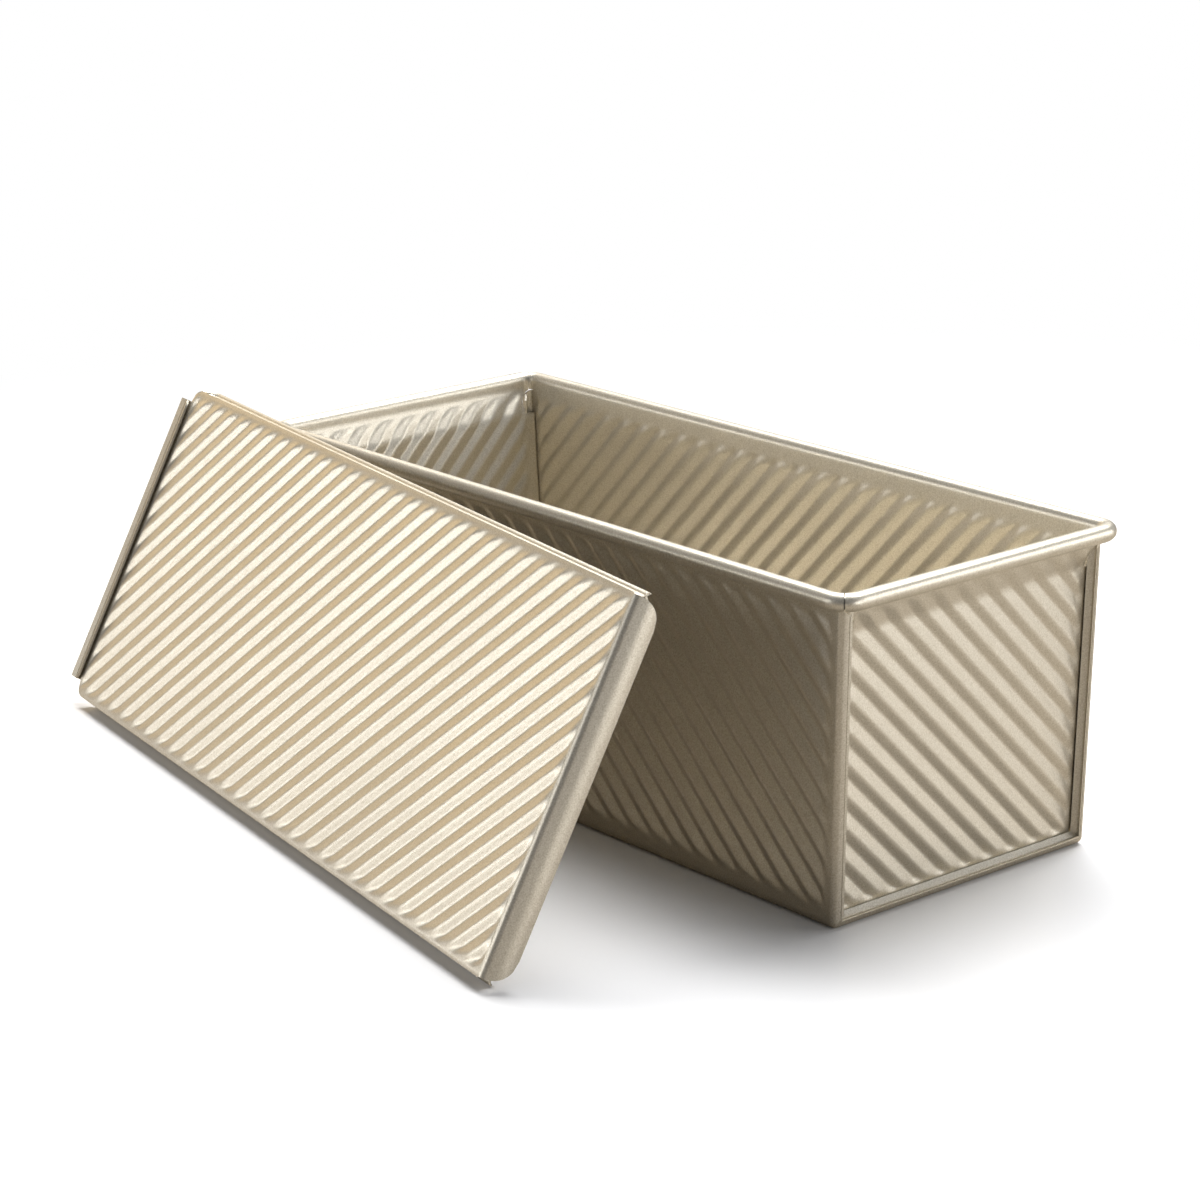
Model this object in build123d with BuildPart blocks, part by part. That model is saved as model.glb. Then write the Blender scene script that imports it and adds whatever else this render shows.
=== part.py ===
from build123d import *
from math import atan2, cos, degrees, radians, sin, sqrt, tan
import os

# Pullman loaf pan with its sliding lid, in millimetres.
# Origin: centre of the base. +X runs to the near end, -Y to the long side that the lid leans on.

# Sheet metal, and the wire inside the rim
sheet = 0.8
fold_gap = 0.1
wire_diameter = 4.2
roll_turn = 305
seam_gap = 0.3
rim_corner_radius = 6.0

# Pan
base_length = 290.0
base_width = 115.0
rim_height = 113.0
end_lean = 2.75
side_lean = 0.35
bend_radius = 2.5

# Folded frame round each end
frame_width = 4.6
frame_rise = 1.7
frame_depth = 2.4
crest_radius = 0.9
frame_end_gap = 0.6
frame_top_drop = 4.2
flange_radius = 0.8

# Top of each end panel, where it spreads to meet the rolled rim
flare_height = 12.0
flare_outset = 0.5
flare_radius = 8.0
collar_height = 3.2

# Diagonal ribs pressed into the panels
rib_depth = 1.3
wall_rib_pitch = 7.7
end_rib_pitch = 7.6
lid_rib_pitch = 8.13
wall_rib_margin = 6.0
end_rib_margin = 1.2
end_rib_top_margin = 2.0
lid_rib_margin = 4.0
lid_rib_hem_margin = 9.5
lid_rib_stop_margin = 3.0

# Lid
lid_length = 338.0
lid_play = 0.6
lid_lift_play = 0.3
lid_shoulder_radius = 2.0
lip_width = 4.0
lip_radius = 1.6
stop_depth = 9.8
stop_bend_radius = 1.4
stop_corner_radius = 8.5
stop_side_gap = 0.8
stop_notch = 6.5
hem_width = 6.2
hem_height = 3.0
hem_radius = 1.4
hem_end_gap = 7.0

# How the lid stands: on its lower channel, with its upper edge on the rim
lid_lean = 62.8
lid_yaw = 9.2
lid_start = 201.0
rest_gap = 0.3

# One overrun serves all cuts
overrun = 1.0

# Places that follow from the sizes above
end_slope = tan(radians(end_lean))
side_slope = tan(radians(side_lean))
bead_radius = wire_diameter / 2 + fold_gap + sheet
bead_height = rim_height - bead_radius
half_length = base_length / 2
half_width = base_width / 2
bead_x = half_length + bead_height * end_slope + flare_outset + bead_radius
bead_y = half_width + bead_height * side_slope - sheet + bead_radius
corner_x = bead_x - rim_corner_radius
corner_y = bead_y - rim_corner_radius
corner_turn = 45 - degrees(seam_gap / 2 / rim_corner_radius)
collar_bottom = bead_height - collar_height
frame_reach = frame_width + sheet
frame_top = collar_bottom - frame_top_drop
fold_turn = atan2(frame_width - sheet / 2, frame_rise + sheet / 2)
bend_line_radius = bend_radius - sheet / 2
bend_x = half_length - sheet / 2 - bend_line_radius * tan(fold_turn / 2)
wall_end = bend_x - overrun
wall_base_y = half_width - bend_radius
lean_line = Vector(end_slope, side_slope, 1)


def bent_sheet(points, radii):
    """Lay a strip of sheet metal along a line with rounded bends."""
    with BuildLine() as middle:
        FilletPolyline(*points, radius=radii)
    trace(middle.line, line_width=sheet)


def rolled_edge(centre_distance):
    """Draw the open ring of sheet that is rolled round the wire."""
    with BuildLine() as ring:
        outer = CenterArc((centre_distance, bead_height), bead_radius, 180, -roll_turn)
        inner = CenterArc((centre_distance, bead_height), bead_radius - sheet, 180, -roll_turn)
        Line(outer @ 0, inner @ 0)
        Line(outer @ 1, inner @ 1)
    make_face(ring.line)


def collar(centre_distance):
    """Draw the short upright strip that carries the roll."""
    with Locations((centre_distance - bead_radius, collar_bottom)):
        Rectangle(sheet, collar_height, align=(Align.MIN, Align.MIN))


def ribbed_panel(panel, window, pitch, side):
    """Make a window of ribbed sheet; side is 1 for ribs that rise along the panel's x, -1 to fall."""
    xs = [x for x, y in window]
    ys = [y for x, y in window]
    centre = panel.from_local_coords(((min(xs) + max(xs)) / 2, (min(ys) + max(ys)) / 2, 0))
    reach = (max(xs) - min(xs) + max(ys) - min(ys)) / sqrt(2) / 2
    count = 2 * int(reach / pitch) + 3
    steps = range(-count, count + 1)
    along = panel.x_dir + panel.y_dir * side
    across = panel.x_dir - panel.y_dir * side
    wave = [(step * pitch / 2, rib_depth / 2 * (1 if step % 2 else -1)) for step in steps]
    with BuildPart() as ribs:
        with BuildSketch(Plane(centre, x_dir=across, z_dir=along)):
            with BuildLine() as wave_line:
                Polyline(*wave)
            trace(wave_line.line, line_width=sheet)
        extrude(amount=reach + pitch, both=True)
        with BuildSketch(panel):
            Polygon(*window, align=None)
        extrude(amount=rib_depth + sheet, both=True, mode=Mode.INTERSECT)
    return ribs.part


def cut_window(panel, window):
    """Open a window in a flat sheet for its ribbed panel."""
    with BuildSketch(panel) as opening:
        Polygon(*window, align=None)
    extrude(opening.sketch, amount=sheet, both=True, mode=Mode.SUBTRACT)


# Frame profile, as distances out from the corner and in from the edge
frame_profile = [
    (wall_end - half_length, sheet / 2),
    (-sheet / 2, sheet / 2),
    (frame_rise, frame_width),
    (frame_end_gap - frame_depth, frame_width),
]
frame_radii = [bend_line_radius, crest_radius]

# Upright leg of the frame at one corner
with BuildPart() as frame_leg:
    with BuildSketch(Plane.XY):
        bent_sheet([(half_length + x, half_width - y) for x, y in frame_profile], frame_radii)
    extrude(amount=rim_height * lean_line.length, dir=lean_line)
    with BuildSketch(Plane.YZ):
        Polygon(
            (half_width + bend_radius, bend_radius),
            (wall_base_y, bend_radius),
            (half_width - frame_reach - overrun, frame_reach + overrun),
            (half_width - frame_reach - overrun, frame_top),
            (half_width + side_slope * collar_bottom, collar_bottom - seam_gap),
            (half_width + bend_radius, collar_bottom - seam_gap),
            align=None,
        )
    extrude(amount=half_length + frame_rise + rim_height, mode=Mode.INTERSECT)

# Bottom bar of the frame, half of one end
with BuildPart() as frame_bar:
    with BuildSketch(Plane.XZ):
        bent_sheet([(half_length + x + y * end_slope, y) for x, y in frame_profile], frame_radii)
    extrude(amount=-half_width)
    with BuildSketch(Plane.YZ):
        Polygon(
            (0, 0),
            (wall_base_y, 0),
            (wall_base_y, bend_radius),
            (half_width - frame_reach, frame_reach),
            (0, frame_reach),
            align=None,
        )
    extrude(amount=half_length + frame_rise + rim_height, mode=Mode.INTERSECT)

# Round corner where three bends meet
with BuildPart() as corner_shell:
    with Locations((bend_x, wall_base_y, bend_radius)):
        Sphere(bend_radius)
        Sphere(bend_radius - sheet, mode=Mode.SUBTRACT)
        Box(bend_radius, bend_radius, bend_radius, align=(Align.MIN, Align.MIN, Align.MAX), mode=Mode.INTERSECT)

# Ribs of the two long walls
wall_height = bead_height - bend_radius
wall_lean_length = wall_height / cos(radians(side_lean))
wall_plane = Plane(
    (0, -half_width - bend_radius * side_slope + sheet / 2, bend_radius),
    x_dir=(1, 0, 0),
    z_dir=(0, -cos(radians(side_lean)), -sin(radians(side_lean))),
)
wall_window_bottom = wall_rib_margin
wall_window_top = wall_lean_length - wall_rib_margin
wall_window_base_x = wall_end + wall_window_bottom * end_slope - wall_rib_margin
wall_window_top_x = wall_end + wall_window_top * end_slope - wall_rib_margin
wall_window = [
    (-wall_window_base_x, wall_window_bottom),
    (wall_window_base_x, wall_window_bottom),
    (wall_window_top_x, wall_window_top),
    (-wall_window_top_x, wall_window_top),
]
back_wall_plane = Plane(
    (0, half_width + bend_radius * side_slope - sheet / 2, bend_radius),
    x_dir=(-1, 0, 0),
    z_dir=(0, cos(radians(side_lean)), -sin(radians(side_lean))),
)
wall_ribs = ribbed_panel(wall_plane, wall_window, wall_rib_pitch, -1)

# Floor, long walls and end frames: one folded sheet
with BuildPart() as pan_wrap:
    with BuildSketch(Plane.XY):
        Rectangle(wall_end, wall_base_y, align=(Align.MIN, Align.MIN))
    extrude(amount=sheet)
    with BuildSketch(Plane.YZ):
        with Locations((wall_base_y, bend_radius)):
            Circle(bend_radius)
            Circle(bend_radius - sheet, mode=Mode.SUBTRACT)
            Rectangle(bend_radius, bend_radius, align=(Align.MIN, Align.MAX), mode=Mode.INTERSECT)
    extrude(amount=bend_x)
    for height in (bend_radius, bead_height):
        with BuildSketch(Plane.XY.offset(height)):
            with Locations((0, half_width + height * side_slope)):
                Rectangle(wall_end + height * end_slope, sheet, align=(Align.MIN, Align.MAX))
    loft()
    with BuildSketch(Plane.YZ):
        rolled_edge(bead_y)
    extrude(amount=corner_x)
    with BuildSketch(Plane.YZ.offset(wall_end)):
        collar(bead_y)
    extrude(amount=corner_x - wall_end)
    with BuildSketch(Plane.YZ.offset(corner_x)):
        rolled_edge(bead_y)
        collar(bead_y)
    revolve(axis=Axis((corner_x, corner_y, 0), (0, 0, -1)), revolution_arc=corner_turn)
    add(frame_leg.part)
    add(frame_bar.part)
    add(corner_shell.part)
    mirror(about=Plane.YZ)
    mirror(about=Plane.XZ)
    cut_window(wall_plane, wall_window)
    cut_window(back_wall_plane, wall_window)
    add(wall_ribs)
    add(wall_ribs.rotate(Axis.Z, 180))
pan_wrap.part.label = "pan_wrap"

# End panel: flat sheet whose flange turns out beside the walls and floor, then follows the frame inside its
# fold; the top spreads and is rolled over the wire
layer = sheet + fold_gap
panel_x = half_length - frame_depth - sheet / 2
flange_line = sheet / 2 + layer
flange_bend_x = half_length - sheet / 2 - layer * tan(fold_turn / 2)
flange_end = frame_width - 2 * sheet
flange_end_x = flange_bend_x + (flange_end - flange_line) / tan(fold_turn)
flare_bottom = bead_height - flare_height
collar_x = bead_x - bead_radius + sheet / 2
panel_side = half_width - flange_line - flange_radius
panel_top_side = half_width - frame_reach + sheet / 2 - fold_gap
end_window_bottom = frame_reach + end_rib_margin
end_window_top = flare_bottom - end_rib_top_margin
end_window_side = panel_top_side - end_rib_margin
end_plane = Plane(
    (panel_x + end_window_bottom * end_slope, 0, end_window_bottom),
    x_dir=(0, 1, 0),
    z_dir=(cos(radians(end_lean)), 0, -sin(radians(end_lean))),
)
end_window_height = (end_window_top - end_window_bottom) / cos(radians(end_lean))
end_window = [
    (-end_window_side, 0),
    (end_window_side, 0),
    (end_window_side, end_window_height),
    (-end_window_side, end_window_height),
]
end_ribs = ribbed_panel(end_plane, end_window, end_rib_pitch, -1)
flange_profile = [
    (panel_x, bend_radius + overrun),
    (panel_x, flange_line),
    (flange_bend_x, flange_line),
    (flange_end_x, flange_end),
]
flange_radii = [flange_radius, bend_line_radius - layer]

# Upright flange at one side of the end panel
with BuildPart() as side_flange:
    with BuildSketch(Plane.XY):
        bent_sheet([(x, half_width - y) for x, y in flange_profile], flange_radii)
    extrude(amount=flare_bottom * lean_line.length, dir=lean_line)
    with BuildSketch(Plane.YZ):
        Polygon(
            (half_width + bend_radius, bend_radius + sheet),
            (wall_base_y, bend_radius + sheet),
            (half_width - frame_reach, frame_reach + sheet),
            (0, frame_reach + sheet),
            (0, flare_bottom),
            (half_width + bend_radius, flare_bottom),
            align=None,
        )
    extrude(amount=half_length + rim_height, mode=Mode.INTERSECT)

# Bottom flange of the end panel, half of it
with BuildPart() as bottom_flange:
    with BuildSketch(Plane.XZ):
        bent_sheet([(x + y * end_slope, y) for x, y in flange_profile], flange_radii)
    extrude(amount=-half_width)
    with BuildSketch(Plane.YZ):
        Polygon(
            (0, 0),
            (wall_base_y - sheet, 0),
            (wall_base_y - sheet, bend_radius),
            (half_width - frame_reach - sheet, frame_reach),
            (0, frame_reach),
            align=None,
        )
    extrude(amount=half_length + rim_height, mode=Mode.INTERSECT)

with BuildPart() as near_end_panel:
    add(bottom_flange.part)
    add(side_flange.part)
    with BuildSketch(Plane.XZ):
        with BuildLine():
            Polyline(
                (panel_x + bend_radius * end_slope, bend_radius + sheet),
                (panel_x + flare_bottom * end_slope, flare_bottom),
            )
        trace(line_width=sheet)
    extrude(amount=-panel_side)
    with BuildSketch(Plane.XZ):
        bent_sheet(
            [
                (panel_x + (flare_bottom - flare_radius) * end_slope, flare_bottom - flare_radius),
                (panel_x + flare_bottom * end_slope, flare_bottom),
                (collar_x, collar_bottom),
                (collar_x, bead_height),
            ],
            flare_radius,
        )
    extrude(amount=-panel_top_side)
    with BuildSketch(Plane.XZ):
        rolled_edge(bead_x)
        collar(bead_x)
    extrude(amount=-corner_y)
    with BuildSketch(Plane.XZ.offset(-corner_y)):
        rolled_edge(bead_x)
        collar(bead_x)
    revolve(axis=Axis((corner_x, corner_y, 0), (0, 0, 1)), revolution_arc=corner_turn)
    mirror(about=Plane.XZ)
    cut_window(end_plane, end_window)
    add(end_ribs)
near_end_panel.part.label = "near_end_panel"
far_end_panel = near_end_panel.part.rotate(Axis.Z, 180)
far_end_panel.label = "far_end_panel"

# Wire loop inside the rolled rim
with BuildPart() as rim_wire:
    with BuildSketch(Plane.YZ):
        with Locations((bead_y, bead_height)):
            Circle(wire_diameter / 2)
    extrude(amount=corner_x)
    with BuildSketch(Plane.YZ.offset(corner_x)):
        with Locations((bead_y, bead_height)):
            Circle(wire_diameter / 2)
    revolve(axis=Axis((corner_x, corner_y, 0), (0, 0, -1)), revolution_arc=90)
    with BuildSketch(Plane.XZ):
        with Locations((bead_x, bead_height)):
            Circle(wire_diameter / 2)
    extrude(amount=-corner_y)
    mirror(about=Plane.YZ)
    mirror(about=Plane.XZ)
rim_wire.part.label = "rim_wire"

# Lid, drawn flat: x along it from the hem, y across it, z out of its face
lid_width = 2 * (bead_y + bead_radius + lid_play + sheet)
channel_depth = 2 * bead_radius + 2 * sheet + lid_lift_play
channel_start = hem_width + hem_end_gap - lid_shoulder_radius
channel_end = lid_length - stop_notch
channel_side = lid_width / 2 - sheet / 2
lid_window = [
    (lid_rib_hem_margin, lid_rib_margin - lid_width / 2),
    (lid_length - lid_rib_stop_margin, lid_rib_margin - lid_width / 2),
    (lid_length - lid_rib_stop_margin, lid_width / 2 - lid_rib_margin),
    (lid_rib_hem_margin, lid_width / 2 - lid_rib_margin),
]
lid_plane = Plane.XY.offset(-sheet / 2)
lid_ribs = ribbed_panel(lid_plane, lid_window, lid_rib_pitch, 1)

with BuildPart() as lid_stop:
    with BuildSketch(Plane.XZ):
        bent_sheet(
            [
                (channel_end - overrun, -sheet / 2),
                (lid_length - sheet / 2, -sheet / 2),
                (lid_length - sheet / 2, -stop_depth),
            ],
            [stop_bend_radius - sheet / 2],
        )
    extrude(amount=lid_width / 2 - stop_side_gap, both=True)
    with BuildSketch(Plane.YZ.offset(channel_end - overrun)) as stop_outline:
        Rectangle(lid_width - 2 * stop_side_gap, 2 * stop_depth)
        fillet(stop_outline.vertices().group_by(Axis.Z)[0], radius=stop_corner_radius)
    extrude(amount=2 * stop_notch, mode=Mode.INTERSECT)

with BuildPart() as lid_flat:
    with BuildSketch(Plane.XY):
        Polygon(
            (hem_width, 0),
            (channel_end, 0),
            (channel_end, channel_side - lid_shoulder_radius),
            (channel_start, channel_side - lid_shoulder_radius),
            (hem_width, lid_width / 2 - hem_end_gap),
            align=None,
        )
    extrude(amount=-sheet)
    with BuildSketch(Plane.YZ.offset(channel_start)):
        bent_sheet(
            [
                (channel_side - lid_shoulder_radius - overrun, -sheet / 2),
                (channel_side, -sheet / 2),
                (channel_side, sheet / 2 - channel_depth),
                (channel_side - lip_width, sheet / 2 - channel_depth),
            ],
            [lid_shoulder_radius - sheet / 2, lip_radius - sheet / 2],
        )
    extrude(amount=channel_end - channel_start)
    with BuildSketch(Plane.XZ):
        bent_sheet(
            [
                (hem_width, -sheet / 2),
                (sheet / 2, -sheet / 2),
                (sheet / 2, hem_height - sheet / 2),
                (hem_width, hem_height - sheet / 2),
            ],
            hem_radius,
        )
    extrude(amount=hem_end_gap - lid_width / 2)
    mirror(about=Plane.XZ)
    add(lid_stop.part)
    cut_window(lid_plane, lid_window)
    add(lid_ribs)

# Where the leaning lid stands: its lower channel on the ground, and its upper channel on the rim, against the
# wall under a higher rim or over a lower rim
lean = radians(lid_lean)
yaw = radians(lid_yaw)
foot_height = lip_radius * (1 - sin(lean) - cos(lean)) + channel_depth * cos(lean)
corner_run = (lid_width - lip_radius) * cos(lean) + (channel_depth - lip_radius) * sin(lean)
corner_height = foot_height + (lid_width - lip_radius) * sin(lean) - (channel_depth - lip_radius) * cos(lean)
touch_radius = bead_radius + rest_gap
lip_depth = channel_depth + touch_radius
lip_touch = (bead_height - foot_height + lip_depth * cos(lean)) / sin(lean)
face_depth = sheet + rib_depth / 2 + touch_radius
face_touch = (bead_height - foot_height + face_depth * cos(lean)) / sin(lean)
rim_reach = corner_x * sin(yaw) + corner_y * cos(yaw) + rim_corner_radius
wall_reach_x = half_length + corner_height * end_slope - bend_radius
wall_reach_y = half_width + corner_height * side_slope - bend_radius
wall_reach = wall_reach_x * sin(yaw) + wall_reach_y * cos(yaw) + bend_radius
if bead_height - corner_height > touch_radius + lip_radius:
    lid_reach = wall_reach + rest_gap + lip_radius + corner_run
elif lip_touch > lid_width - lip_width - sheet / 2:
    lid_reach = rim_reach + lip_touch * cos(lean) + lip_depth * sin(lean)
else:
    lid_reach = rim_reach + face_touch * cos(lean) + face_depth * sin(lean)
lid_axis = Vector(cos(yaw), -sin(yaw), 0)
lid_side = Vector(sin(yaw), cos(yaw), 0)
lid_foot = lid_axis * -lid_start + lid_side * -lid_reach + Vector(0, 0, foot_height)
lid_slope = lid_side * cos(lean) + Vector(0, 0, sin(lean))
lid_face = lid_axis.cross(lid_slope)
lid_place = Plane(lid_foot + lid_slope * (lid_width / 2), x_dir=lid_axis, z_dir=lid_face)
lid = lid_flat.part.moved(lid_place.location)
lid.label = "lid"

os.makedirs("parts", exist_ok=True)
export_step(pan_wrap.part, "parts/pan_wrap.step")
export_step(near_end_panel.part, "parts/near_end_panel.step")
export_step(far_end_panel, "parts/far_end_panel.step")
export_step(rim_wire.part, "parts/rim_wire.step")
export_step(lid, "parts/lid.step")
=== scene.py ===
"""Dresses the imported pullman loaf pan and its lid: pressed and folded sheet, satin coating, studio light."""

import logging
import math
from dataclasses import dataclass
from enum import Enum

import bmesh
import bpy
import numpy as np
from mathutils import Matrix, Vector


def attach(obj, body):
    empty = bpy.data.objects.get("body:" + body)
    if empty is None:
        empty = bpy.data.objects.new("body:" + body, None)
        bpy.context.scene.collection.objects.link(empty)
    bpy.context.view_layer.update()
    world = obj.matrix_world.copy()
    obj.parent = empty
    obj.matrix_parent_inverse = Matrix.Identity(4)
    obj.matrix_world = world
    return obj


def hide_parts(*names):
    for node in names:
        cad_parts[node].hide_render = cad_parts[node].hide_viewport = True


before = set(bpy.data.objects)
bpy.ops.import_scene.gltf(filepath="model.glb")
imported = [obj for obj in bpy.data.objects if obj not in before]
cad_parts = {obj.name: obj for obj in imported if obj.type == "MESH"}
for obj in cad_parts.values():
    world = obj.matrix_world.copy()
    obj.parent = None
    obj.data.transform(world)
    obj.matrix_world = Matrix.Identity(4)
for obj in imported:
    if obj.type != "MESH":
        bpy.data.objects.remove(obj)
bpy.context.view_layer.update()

logging.basicConfig(level=logging.INFO, format="%(message)s")
log = logging.getLogger("loaf_pan")

MM = 0.001

# Ribs: grid steps across one pitch, and a crest's rounding as a share of the pitch
STEPS_PER_RIB = 10
CREST_SHARE = 0.045
CREST_SAMPLES = 5

# Segments of the bends and rows of the plain parts of the grids
BEND_STEPS = 6
CORNER_STEPS = 6
FLARE_STEPS = 8
HEM_BEND_STEPS = 8
STOP_BEND_STEPS = 10
ROLL_STEPS = 22
COLLAR_STEPS = 3
FLOOR_STEPS = 11
FLANGE_ROWS = 24
WALL_MARGIN_STEPS = 8
PANEL_MARGIN_STEPS = 4
LID_MARGIN_STEPS = 3

# Millimetres: longest steps along the lid's hem and stop, and least room beside the outermost grid lines
HEM_STEP = 0.8
STOP_STEP = 0.7
PANEL_ROOM = 1.0
LID_SIDE_ROOM = 1.5
LID_END_ROOM = 0.3

# Millimetres: gap between two rows that must stay apart, plain sheet before or after a bend at a piece's
# edge, and the distances under which points are joined and faces dropped
ROW_GAP = 0.01
LEAD_IN = 0.001
BEND_SLACK = 1e-4
JOIN_GAP = 0.004
LEAST_EDGE = 0.002
SHARP_ANGLE = 40.0

# Sockets of Blender's colour mix node that have no name of their own
MIX_A, MIX_B, MIX_RESULT = 6, 7, 2
NOISE_MIDDLE = 0.5


class Rise(Enum):
    """Which way the diagonal ribs run across a grid's columns and rows."""

    RISING = 1
    FALLING = -1


class End(Enum):
    """The pan's two ends, as the sign of their place along it."""

    NEAR = 1
    FAR = -1


@dataclass(frozen=True)
class Stock:
    """The sheet metal and the wire, in millimetres and degrees."""

    sheet: float = 0.8
    fold_gap: float = 0.1
    wire: float = 4.2
    seam_gap: float = 0.3
    roll_turn: float = 305.0

    @property
    def half(self) -> float:
        """Distance from the middle of the sheet to its face."""
        return self.sheet / 2

    @property
    def layer(self) -> float:
        """Thickness of one layer and its gap in a fold."""
        return self.sheet + self.fold_gap

    @property
    def bead(self) -> float:
        """Outer radius of the rolled rim."""
        return self.wire / 2 + self.fold_gap + self.sheet

    @property
    def bead_line(self) -> float:
        """Radius of the middle of the rolled sheet."""
        return self.bead - self.half


@dataclass(frozen=True)
class PanSizes:
    """Driving sizes of the pan, in millimetres and degrees; shares are of one."""

    length: float = 290.0
    width: float = 115.0
    height: float = 113.0
    end_lean: float = 2.75
    side_lean: float = 0.35
    bend: float = 2.5
    # The folded frame round each end, and how its legs slope away below the rim
    frame_width: float = 4.6
    frame_rise: float = 1.7
    frame_depth: float = 2.4
    frame_end_gap: float = 0.6
    frame_crest: float = 0.9
    frame_top_drop: float = 4.2
    frame_top_power: float = 1.6
    # The end panel: flanges, spread top, and where it widens over the frame's legs below the collar
    flange_bend: float = 0.8
    flare_height: float = 12.0
    flare_outset: float = 0.5
    flare_bend: float = 8.0
    widen_below: float = 2.16
    widen_height: float = 1.8
    skirt_inset_share: float = 0.1
    # The upright strip below the rolled rim, and the rim's corners
    collar: float = 3.2
    rim_corner: float = 6.0
    # The pressed ribs and the plain margins round them
    wall_pitch: float = 7.7
    end_pitch: float = 7.6
    wall_margin: float = 1.8
    wall_foot: float = 4.0
    wall_head: float = 5.0
    end_margin: float = 0.2
    end_head: float = 4.0
    rib_depth: float = 1.3
    rib_long_share: float = 0.6
    wall_fade: float = 3.6
    end_fade: float = 1.2


@dataclass(frozen=True)
class LidSizes:
    """Driving sizes of the lid, in millimetres and degrees; shares are of one."""

    length: float = 338.0
    # Clearances to the rim, and the channels that run along it
    play: float = 0.6
    lift_play: float = 0.3
    shoulder: float = 2.0
    lip: float = 4.0
    lip_bend: float = 1.6
    channel_round: float = 5.0
    channel_end_share: float = 0.1
    # The bowed stop flange at one end
    stop_depth: float = 9.8
    stop_bend: float = 2.2
    stop_bow: float = 2.1
    stop_bow_depth: float = 6.4
    stop_bow_bend: float = 12.0
    stop_tip_inset: float = 0.3
    stop_corner: float = 8.5
    stop_side_gap: float = 2.0
    stop_notch: float = 4.0
    # The folded hem at the other end
    hem_width: float = 6.2
    hem_height: float = 3.0
    hem_bend: float = 1.4
    hem_back_bend: float = 1.12
    hem_drop: float = 1.2
    hem_corner: float = 2.4
    hem_end_gap: float = 7.0
    hem_back_height: float = 1.0
    # The pressed ribs and the plain margins round them
    pitch: float = 8.13
    side_margin: float = 3.4
    hem_margin: float = 6.6
    stop_margin: float = 3.6
    rib_depth: float = 1.3
    rib_long_share: float = 0.6
    rib_fade: float = 3.2
    # How it leans on the pan
    lean: float = 62.8
    yaw: float = 9.2
    start: float = 201.0
    rest_gap: float = 0.3


def linear(hex_colour: str) -> tuple[float, float, float, float]:
    """Turn an sRGB hex colour into the linear values that shaders use.

    Args:
        hex_colour: Six hex digits with a leading hash.

    Returns:
        Linear red, green, blue and an alpha of one.
    """
    parts = [int(hex_colour[i:i + 2], 16) / 255 for i in (1, 3, 5)]
    values = [c / 12.92 if c <= 0.04045 else ((c + 0.055) / 1.055) ** 2.4 for c in parts]
    return (*values, 1.0)


def onward(start: float, end: float, steps: int) -> np.ndarray:
    """Equal steps from start to end, without the start itself."""
    return np.linspace(start, end, steps + 1)[1:]


def even_places(limit: float, step: float) -> np.ndarray:
    """Evenly spaced places on both sides of zero, none beyond a limit."""
    count = int(limit / step)
    return np.arange(-count, count + 1) * step


def widened(middle: np.ndarray, edge: float, steps: int) -> np.ndarray:
    """Add places on both sides of the middle ones, out to a sheet's two edges.

    Args:
        middle: Evenly spaced places on both sides of zero.
        edge: Distance of both edges from zero.
        steps: Places to add on each side.

    Returns:
        All places, from edge to edge.
    """
    reach = middle[-1] + (edge - middle[-1]) * onward(0, 1, steps)
    return np.concatenate([-reach[::-1], middle, reach])


def grid_row(x: np.ndarray, y: np.ndarray, z: np.ndarray) -> np.ndarray:
    """One row of a grid; each coordinate is one number or one for each point."""
    return np.stack(np.broadcast_arrays(x, y, z), 1)


def bent_line(points: list, radii: list, steps: int = BEND_STEPS) -> np.ndarray:
    """Round the corners of a line, as a folded sheet's bends are.

    Args:
        points: Corner points, two numbers each.
        radii: One bend radius for each inner corner.
        steps: Segments in each bend.

    Returns:
        Points along the rounded line, one row each.
    """
    corners = [np.array(p, float) for p in points]
    line = [corners[0]]
    for before, corner, after, radius in zip(corners, corners[1:], corners[2:], radii):
        back = (before - corner) / np.linalg.norm(before - corner)
        on = (after - corner) / np.linalg.norm(after - corner)
        half = math.acos(np.clip(back @ on, -1, 1)) / 2
        middle = (back + on) / np.linalg.norm(back + on)
        centre = corner + middle * radius / math.sin(half)
        start = corner + back * radius / math.tan(half) - centre
        turn = math.pi - 2 * half
        if start[0] * on[1] - start[1] * on[0] < 0:
            turn = -turn
        for step in range(steps + 1):
            angle = turn * step / steps
            c, s = math.cos(angle), math.sin(angle)
            line.append(centre + np.array([start[0] * c - start[1] * s, start[0] * s + start[1] * c]))
    line.append(corners[-1])
    return np.array(line)


def fine_line(points: np.ndarray, step: float) -> np.ndarray:
    """Split a line's long stretches.

    Args:
        points: Points along the line, one row each.
        step: Length that no segment is much longer than.

    Returns:
        The same line with more points.
    """
    line = [points[0]]
    for start, end in zip(points, points[1:]):
        count = max(1, round(float(np.linalg.norm(end - start)) / step))
        line.extend(start + (end - start) * share for share in onward(0, 1, count))
    return np.array(line)


def smooth_step(value: np.ndarray) -> np.ndarray:
    """Ease from 0 to 1 with flat ends."""
    t = np.clip(value, 0, 1)
    return t * t * (3 - 2 * t)


def rib_wave(across: np.ndarray, long_share: float) -> np.ndarray:
    """Height of the pressed ribs: a long facet and a short one, with small rounded crests.

    Args:
        across: Distance across the ribs, in pitches.
        long_share: Share of the pitch that the long facet takes.

    Returns:
        The height for each distance, from -1 to 1.
    """
    total = np.zeros_like(across)
    for offset in np.linspace(-CREST_SHARE, CREST_SHARE, CREST_SAMPLES):
        turn = np.mod(across + offset, 1)
        total += np.where(turn < long_share, turn / long_share, (1 - turn) / (1 - long_share))
    return total / CREST_SAMPLES * 2 - 1


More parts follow.
